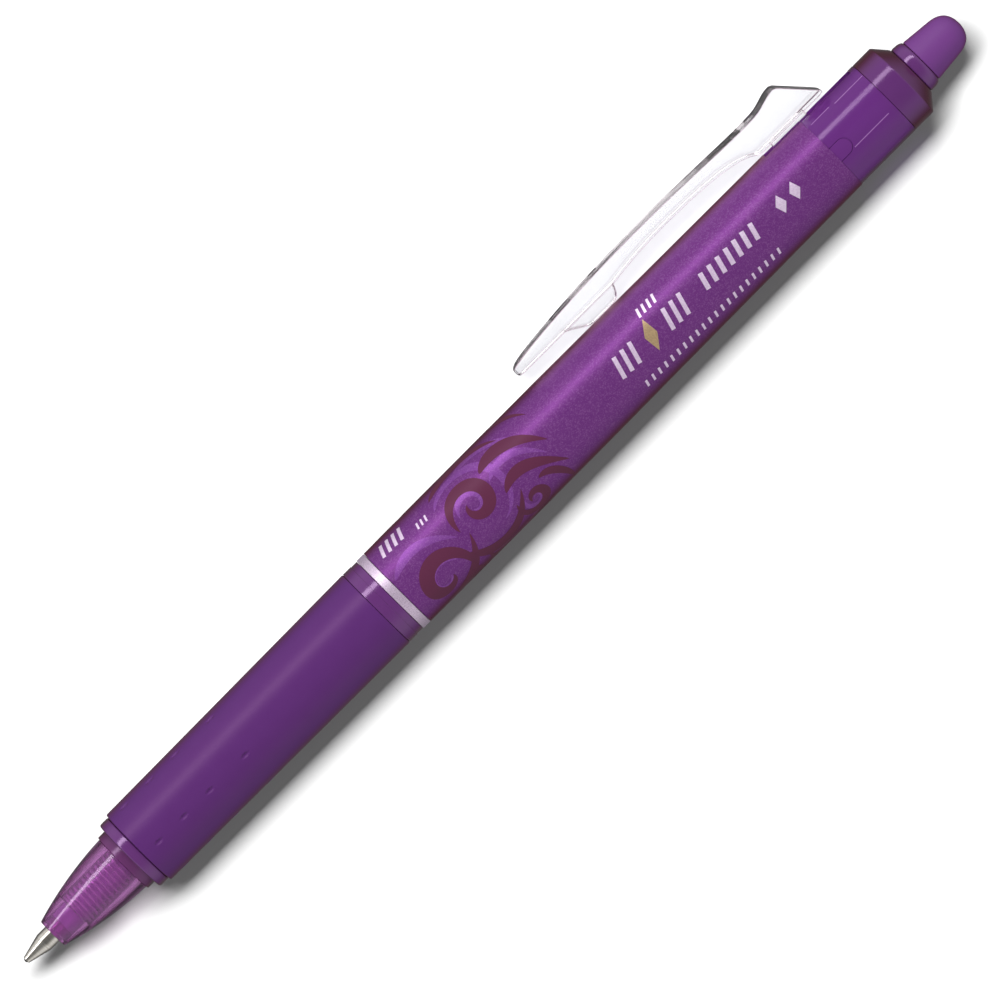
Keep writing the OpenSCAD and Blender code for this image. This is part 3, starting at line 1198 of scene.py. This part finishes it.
@dataclass
class Rear:
    """The barrel's rear: crown, cap, eraser, and the click mechanism inside."""

    shoulder_r: float = 3.15
    cap_bore_r: float = 4.32
    cap_hole_r: float = 2.5
    cap_wall: float = 2.66
    cap_floor: float = 2.18
    stem_r: float = 2.48
    stud_stem_r: float = 1.98
    stud_bore_r: float = 2.0
    flange_length: float = 0.98
    flange_rear_r: float = 2.8
    flange_drop: float = 0.06
    stud_r: float = 2.75
    nose_r: float = 2.42
    nose_length: float = 2.4

    def cap(self) -> np.ndarray:
        """The top cap's outline: a short wall, a cone and a bored end.

        Returns:
            Rows of station and radius.
        """
        e = Extent.of("top_cap")
        floor = e.rear - self.cap_floor
        rows = [
            [e.front, self.cap_bore_r], [e.front, e.radius], [e.front + self.cap_wall, e.radius],
            [e.rear, self.shoulder_r], [e.rear, self.cap_hole_r], [floor, self.cap_hole_r],
            [floor, self.cap_bore_r],
        ]
        return np.array(rows)

    def collar(self) -> np.ndarray:
        """The eraser collar's outline: a stem, then a flange that narrows to the rear.

        Returns:
            Rows of station and radius.
        """
        e = Extent.of("eraser_collar")
        flange = Extent.of("top_cap").rear + SEAT_GAP
        rows = [
            [e.front, self.stud_bore_r], [e.front, self.stem_r], [flange, self.stem_r],
            [flange, e.radius], [flange + self.flange_length, e.radius - self.flange_drop],
            [e.rear, self.flange_rear_r], [e.rear, self.stud_bore_r],
        ]
        return np.array(rows)

    def eraser(self) -> np.ndarray:
        """The eraser's outline: a stem, then a cone with a rounded end.

        Returns:
            Rows of station and radius.
        """
        e = Extent.of("eraser")
        base = Extent.of("eraser_collar").rear + SEAT_GAP
        neck = (e.rear - self.nose_length, self.nose_r)
        nose = bezier(neck, (e.rear - 0.7, 2.3), (e.rear, 1.4), (e.rear, 0.0), 14)
        stem = [[e.front, 0.0], [e.front, self.stud_stem_r], [base, self.stud_stem_r], [base, self.stud_r]]
        return np.vstack([stem, nose])

    def build(self) -> None:
        """Builds the rear pieces and dresses the CAD nodes that stay in view."""
        keep("barrel", "pearl_purple")
        keep("crown", "crown_purple")
        keep("cam_guide", "inner_plastic")
        keep("cam_rotor", "inner_plastic")
        keep("plunger", "plunger_plastic")
        # Painted shade: the clip's bevels take a darker tint that draws its outline.
        keep("clip", "clear_plastic", "clip_edge_shade", 0.1)
        cap, collar, stud = (
            lathe(soften(outline, edge))
            for outline, edge in ((self.cap(), 0.15), (self.collar(), 0.25), (self.eraser(), 0.15))
        )
        add(cap, "cap", "cap_plastic", Slot.CAP_PLASTIC, Body.BARREL, "top_cap")
        add(collar, "stud_collar", "dark_plastic", Slot.CAP_PLASTIC, Body.BARREL, "eraser_collar")
        add(stud, "stud", "eraser_rubber", Slot.ERASER_RUBBER, Body.BARREL, "eraser")


@dataclass
class Marks:
    """What lies on the barrel and the crown: a scroll ornament, plain foil marks and lighter lines on the
    crown that are painted highlights.
    """

    lift: float = 0.006
    thickness: float = 0.008
    across: int = 7
    taper_front: float = 12.7
    taper: float = 0.22
    crown_step: float = CROWN_HIDDEN + SEAT_GAP
    tip_width: float = 0.03
    glint_width: float = 0.1
    foil_start: float = 33.4

    def radius(self, along: np.ndarray) -> np.ndarray:
        """The radius at a station: even, then falling evenly to the barrel's rear, then the crown's.

        Args:
            along: stations in millimetres.

        Returns:
            The radius at each.
        """
        e = Extent.of("barrel")
        crown = Extent.of("crown")
        rear = crown.front + self.crown_step
        taper = self.taper * np.clip((along - self.taper_front) / (rear - self.taper_front), 0, 1)
        return np.where(along > rear, crown.radius, e.radius - taper)

    def strip(self, path: np.ndarray, width: np.ndarray, lift: float) -> Surface:
        """A thin raised strip laid on the barrel.

        Row i is a flat loop across path point i, at right angles to the path: over the top from edge to
        edge, and back underneath. The flat plane is then wrapped round the barrel.

        Args:
            path: rows of station and distance round the barrel from the view line, in millimetres.
            width: the strip's width at each point.
            lift: the height of its underside over the barrel.

        Returns:
            The closed surface.
        """
        heading = np.gradient(path, axis=0)
        heading /= np.linalg.norm(heading, axis=1, keepdims=True)
        normal = np.stack([-heading[:, 1], heading[:, 0]], 1)
        t = np.linspace(-0.5, 0.5, self.across)
        t = np.concatenate([t, t[::-1]])
        height = np.concatenate([np.full(self.across, lift + self.thickness), np.full(self.across, lift)])
        flat = path[:, None] + normal[:, None] * (width[:, None] * t)[..., None]
        base = self.radius(flat[..., 0])
        points = AXES.place(flat[..., 0], flat[..., 1] / base, base + height)
        return capped_tube(points.reshape(len(path), 2 * self.across, 3))

    def curl(self, centre: tuple, reach: tuple, start: float, turns: float, width: float) -> tuple:
        """A spiral: its radius goes in even ratio from reach[0] to reach[1] while its angle turns evenly.

        Args:
            centre: station and distance round, in millimetres.
            reach: the first and last radius.
            start: the first angle in turns.
            turns: how far it turns, negative the other way.
            width: the strip's greatest width.

        Returns:
            The path and its widths.
        """
        u = np.linspace(0, 1, 64)
        radius = reach[0] * (reach[1] / reach[0]) ** u
        angle = (start + turns * u) * TURN
        path = np.stack([centre[0] + radius * np.cos(angle), centre[1] + radius * np.sin(angle)], 1)
        return path, self.swell(u, width)

    def tail(self, p0: tuple, p1: tuple, p2: tuple, p3: tuple, width: float) -> tuple:
        """A leaf along a cubic curve.

        Args:
            p0, p1, p2, p3: the curve's ends and the two points that it is drawn towards.
            width: its greatest width.

        Returns:
            The path and its widths.
        """
        path = bezier(p0, p1, p2, p3, 40)
        return path, self.swell(np.linspace(0, 1, len(path)), width)

    def swell(self, u: np.ndarray, width: float) -> np.ndarray:
        """The width w sin(pi u^0.8)^0.8 and a little more: broad near the middle, thin at both ends."""
        return width * np.sin(np.pi * u ** 0.8) ** 0.8 * (u > 0) * (u < 1) + self.tip_width

    def scrolls(self, start: float, turn: float) -> tuple:
        """The ornament's dark and light strips.

        Args:
            start: the station of its front end.
            turn: how far round the barrel it is moved, in millimetres.

        Returns:
            A list of dark and a list of light (path, width) pairs.
        """
        dark = [
            self.curl((4.3, -3.4), (3.9, 1.0), -0.08, 1.05, 1.7),
            self.curl((12.2, 0.4), (3.4, 0.9), 0.55, -1.15, 1.5),
            self.curl((17.4, -4.2), (2.4, 0.6), 0.42, 1.1, 1.1),
            self.curl((7.4, 9.4), (2.6, 0.7), 0.1, -1.1, 1.1),
            self.tail((0.2, -6.6), (4, -8.4), (8, -6.2), (9.6, -1.4), 1.5),
            self.tail((8.0, -3.0), (10.6, -6.8), (14, -6.6), (16.8, -2.0), 1.5),
            self.tail((7.6, -7.4), (11.0, -9.6), (15.4, -9.0), (19.0, -6.4), 1.3),
            self.tail((14.8, 2.4), (17, 4.0), (20, 3.0), (22.6, -0.2), 1.5),
            self.tail((15.4, -1.2), (17.6, 0.8), (20.4, -0.8), (22.8, -3.6), 1.3),
            self.tail((8.8, 4.6), (12, 7.2), (15.4, 6.8), (18.6, 4.0), 1.2),
            self.tail((13, 8.2), (16.6, 8.8), (20.4, 7.0), (22.8, 3.6), 1.0),
            self.tail((19.0, -2.6), (20.6, -2.2), (22.2, -4.4), (22.0, -7.0), 0.9),
        ]
        light = [
            self.curl((4.3, -3.4), (2.6, 0.7), 0.05, 0.95, 1.0),
            self.curl((12.2, 0.4), (2.2, 0.6), 0.5, -0.9, 0.9),
            self.curl((12.2, 0.4), (4.5, 3.9), 0.4, -0.6, 1.0),
            self.curl((17.4, -4.2), (1.5, 0.5), 0.4, 0.8, 0.7),
            self.tail((0.4, 0.6), (3.0, 2.4), (5.8, 2.0), (8.4, -0.8), 1.1),
            self.tail((9.2, -4.4), (12.0, -8.6), (15.6, -8.0), (18.6, -4.0), 1.0),
            self.tail((15.0, 1.0), (17.4, 2.6), (19.8, 1.6), (21.6, -1.2), 0.9),
            self.tail((12.4, 5.0), (15.0, 6.0), (18.0, 5.0), (20.6, 2.0), 0.9),
        ]
        move = np.array([start, turn])
        return [(p + move, w) for p, w in dark], [(p + move, w) for p, w in light]

    def ornament(self) -> None:
        """Lays the scrolls on the barrel twice, half a turn apart."""
        start = Extent.of("barrel").front
        half = math.pi * Extent.of("trim_ring").radius
        dark, light = [], []
        for turn in (0.0, half):
            heavy, thin = self.scrolls(start, turn)
            dark += [self.strip(p, w, self.lift) for p, w in heavy]
            light += [self.strip(p, w, self.lift / 2) for p, w in thin]
        add(Surface.joined(dark), "ornament_dark", "ornament_dark", Slot.BARREL_PAINT, Body.BARREL)
        add(Surface.joined(light), "ornament_light", "ornament_light", Slot.BARREL_PAINT, Body.BARREL)

    def bar(self, centre: tuple, height: float, width: float, slant: float) -> Surface:
        """A straight slanted bar across the barrel.

        Args:
            centre: station and distance round, in millimetres.
            height: its length round the barrel.
            width: its width.
            slant: how far its top lies behind its foot.

        Returns:
            The closed surface.
        """
        u = np.linspace(-0.5, 0.5, 12)[:, None]
        path = np.array(centre) + u * np.array([slant, height])
        return self.strip(path, np.full(len(u), width), self.lift)

    def lozenge(self, centre: tuple, height: float, width: float, slant: float) -> Surface:
        """A slanted lozenge: a strip whose width rises evenly to its middle and falls again.

        Args:
            centre: station and distance round, in millimetres.
            height: its length round the barrel.
            width: its greatest width.
            slant: how far its top lies behind its foot.

        Returns:
            The closed surface.
        """
        u = np.linspace(-0.5, 0.5, 21)[:, None]
        path = np.array(centre) + u * np.array([slant, height])
        return self.strip(path, self.tip_width + width * (1 - 2 * np.abs(u[:, 0])), self.lift)

    def foil(self) -> None:
        """Lays the plain foil marks: groups of bars, lozenges and a row of dashes.

        A row gives a group's shape, its count, its pitch along the pen, its first centre along the barrel
        and round it, and each mark's height, width and slant.
        """
        first = self.foil_start
        groups = [
            (self.bar, 3, 1.15, first, -0.3, 2.5, 0.5, 0.7),
            (self.bar, 3, 1.15, first + 7.4, -0.3, 2.5, 0.5, 0.7),
            (self.bar, 7, 1.25, first + 13.0, -0.2, 1.9, 0.55, 0.5),
            (self.lozenge, 2, 2.1, first + 24.6, -0.2, 2.1, 1.3, 0.5),
            (self.bar, 4, 0.75, first + 5.6, 2.5, 1.1, 0.3, 0.3),
            (self.bar, 22, 0.95, first + 1.0, -4.0, 0.95, 0.28, 0.15),
            (self.bar, 4, 0.9, 1.6, 4.4, 1.9, 0.42, 0.5),
            (self.bar, 3, 0.6, 6.2, 3.3, 0.8, 0.24, 0.2),
        ]
        start = Extent.of("barrel").front
        silver = [
            shape((start + along + pitch * k, around), height, width, slant)
            for shape, count, pitch, along, around, height, width, slant in groups
            for k in range(count)
        ]
        add(Surface.joined(silver), "foil_silver", "foil_silver", Slot.BARREL_PAINT, Body.BARREL)
        gold = self.lozenge((start + first + 4.9, -0.2), 3.7, 1.5, 1.0)
        add(gold, "foil_gold", "foil_gold", Slot.BARREL_PAINT, Body.BARREL)

    def glint_lines(self) -> None:
        """Lays thin lighter lines along the crown: painted highlights for the glints off the crown's inner
        edges.
        """
        front = Extent.of("crown").front + self.crown_step
        rear = Extent.of("top_cap").front - 0.1
        lines = [
            (front + 2.1, rear - 0.9, -1.53), (front + 3.9, rear, 3.66), (front + 0.5, front + 3.2, 3.9)
        ]
        steps = np.linspace(0, 1, 12)
        parts = []
        for start, end, around in lines:
            path = np.stack([start + (end - start) * steps, np.full(len(steps), around)], 1)
            parts.append(self.strip(path, np.full(len(steps), self.glint_width), self.lift))
        # These lines are painted highlights, not parts of the crown.
        add(Surface.joined(parts), "crown_glints", "painted_glint", Slot.CLEAR_PURPLE, Body.BARREL)

    def build(self) -> None:
        """Lays every mark."""
        self.ornament()
        self.foil()
        self.glint_lines()


@dataclass(frozen=True)
class Lamp:
    """A soft rectangular light aimed at the pen, with its long side along it."""

    name: str
    bearing: float
    away: float
    size: tuple
    power: float
    glossy: bool = True

    def build(self, only: list) -> None:
        """Makes the light.

        It stands at its distance from the pen in metres, at its bearing about the pen from the view line
        towards the clip. Its size is its length along the pen and its width, in metres.

        Args:
            only: the objects it lights.
        """
        lamp = bpy.data.lights.new(self.name, "AREA")
        lamp.shape = "RECTANGLE"
        lamp.size, lamp.size_y = self.size
        lamp.energy = self.power
        holder = bpy.data.objects.new(self.name, lamp)
        back = Vector(math.cos(self.bearing) * AXES.view + math.sin(self.bearing) * AXES.across)
        along = Vector((1, 0, 0))
        turn = Matrix((along, back.cross(along), back)).transposed()
        holder.matrix_world = Matrix.Translation(back * self.away) @ turn.to_4x4()
        bpy.context.scene.collection.objects.link(holder)
        holder.visible_camera = False
        holder.visible_glossy = self.glossy
        group = bpy.data.collections.new(self.name)
        for piece in only:
            group.objects.link(piece)
        holder.light_linking.receiver_collection = group


@dataclass
class Studio:
    """A white floor, soft light and the camera."""

    floor_key: Lamp = Lamp("floor_key", math.radians(15.5), 0.9, (0.5, 0.2), 42.0)
    strip: Lamp = Lamp("strip", math.radians(44.5), 0.5, (1.2, 0.11), 2.9)
    fill: Lamp = Lamp("fill", math.radians(-16.0), 0.7, (0.8, 0.6), 2.1, False)
    light_sides: float = 0.75
    light_ahead: float = 0.15
    light_behind: float = 0.14
    floor_reach: float = 3.0
    floor_dark: tuple = (0.29, 0.29, 0.29, 1.0)
    floor_light: tuple = (0.31, 0.31, 0.31, 1.0)
    lens: float = 500.0
    distance: float = 1489.5
    picture_turn: float = math.radians(45.15)
    aim_along: float = 1.7
    aim_across: float = -1.21

    def floor(self) -> bpy.types.Object:
        """A plain floor at the height of the pen's underside.

        Returns:
            The floor.
        """
        low, _ = CAD_BOUNDS
        corners = np.array([[-1, -1], [1, -1], [1, 1], [-1, 1]]) * self.floor_reach
        points = np.column_stack([corners, np.full(4, low[2])])
        floor = Surface(points, np.array([[0, 1, 2, 3]])).build("floor")
        graph = Shader("floor_white")
        tone = graph.mix(graph.noise(40.0), self.floor_dark, self.floor_light)
        floor.data.materials.append(graph.finish(Base_Color=tone, Roughness=0.9, Specular_IOR_Level=0.1))
        floor.visible_diffuse = False
        floor.visible_glossy = False
        floor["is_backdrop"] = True
        return floor

    def world(self) -> None:
        """A white surrounding that is bright to the camera and dim as a light.

        As a light it has one level at the sides, one from the camera's own direction and one from beyond.
        """
        world = bpy.data.worlds.new("white")
        world.use_nodes = True
        graph = Graph(world.node_tree)
        heading = graph.value("ShaderNodeTexCoord", "Generated")
        settings = {"operation": "DOT_PRODUCT"}
        near = graph.value("ShaderNodeVectorMath", "Value", settings, {0: heading, 1: tuple(AXES.view)})
        ahead = near.step(0.35, 0.95) * (self.light_ahead - self.light_sides)
        level = ahead + near.step(-0.6, 0.1) * (self.light_sides - self.light_behind) + self.light_behind
        path = graph.node("ShaderNodeLightPath")
        through = Value(graph, path.outputs["Is Transmission Ray"])
        seen = Value(graph, path.outputs["Is Camera Ray"]) + through
        inputs = {"Color": (1.0, 1.0, 1.0, 1.0), "Strength": level * (1 - seen) + seen}
        light = graph.node("ShaderNodeBackground", None, inputs)
        end = graph.node("ShaderNodeOutputWorld")
        graph.tree.links.new(light.outputs[0], end.inputs["Surface"])
        bpy.context.scene.world = world

    def camera(self) -> None:
        """A long lens that looks square at the pen, turned so that it runs up to the right."""
        lens = bpy.data.cameras.new("camera")
        lens.lens = self.lens
        lens.clip_start = 0.1
        camera = bpy.data.objects.new("camera", lens)
        along, across = np.array([1.0, 0.0, 0.0]), AXES.across
        right = math.cos(self.picture_turn) * along - math.sin(self.picture_turn) * across
        up = math.sin(self.picture_turn) * along + math.cos(self.picture_turn) * across
        spot = self.aim_along * along + self.aim_across * across + self.distance * AXES.view
        turn = Matrix(np.stack([right, up, AXES.view], 1).tolist()).to_4x4()
        camera.matrix_world = Matrix.Translation(Vector(spot * MM)) @ turn
        bpy.context.scene.collection.objects.link(camera)
        bpy.context.scene.camera = camera

    def build(self) -> None:
        """Builds the floor, the light and the camera."""
        floor = self.floor()
        pen = list(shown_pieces())
        self.world()
        self.floor_key.build([floor])
        self.strip.build(pen)
        self.fill.build(pen)
        self.camera()
        bpy.context.scene.view_settings.view_transform = "Standard"


def main() -> None:
    """Builds the pen's looks in order, then the studio."""
    logging.basicConfig(level=logging.INFO, format="%(message)s")
    for part in (Refill(), ReturnSpring(), Front(), Rear(), Marks(), Studio()):
        part.build()
        LOG.info("%s built", type(part).__name__)


if __name__ == "__main__":
    main()
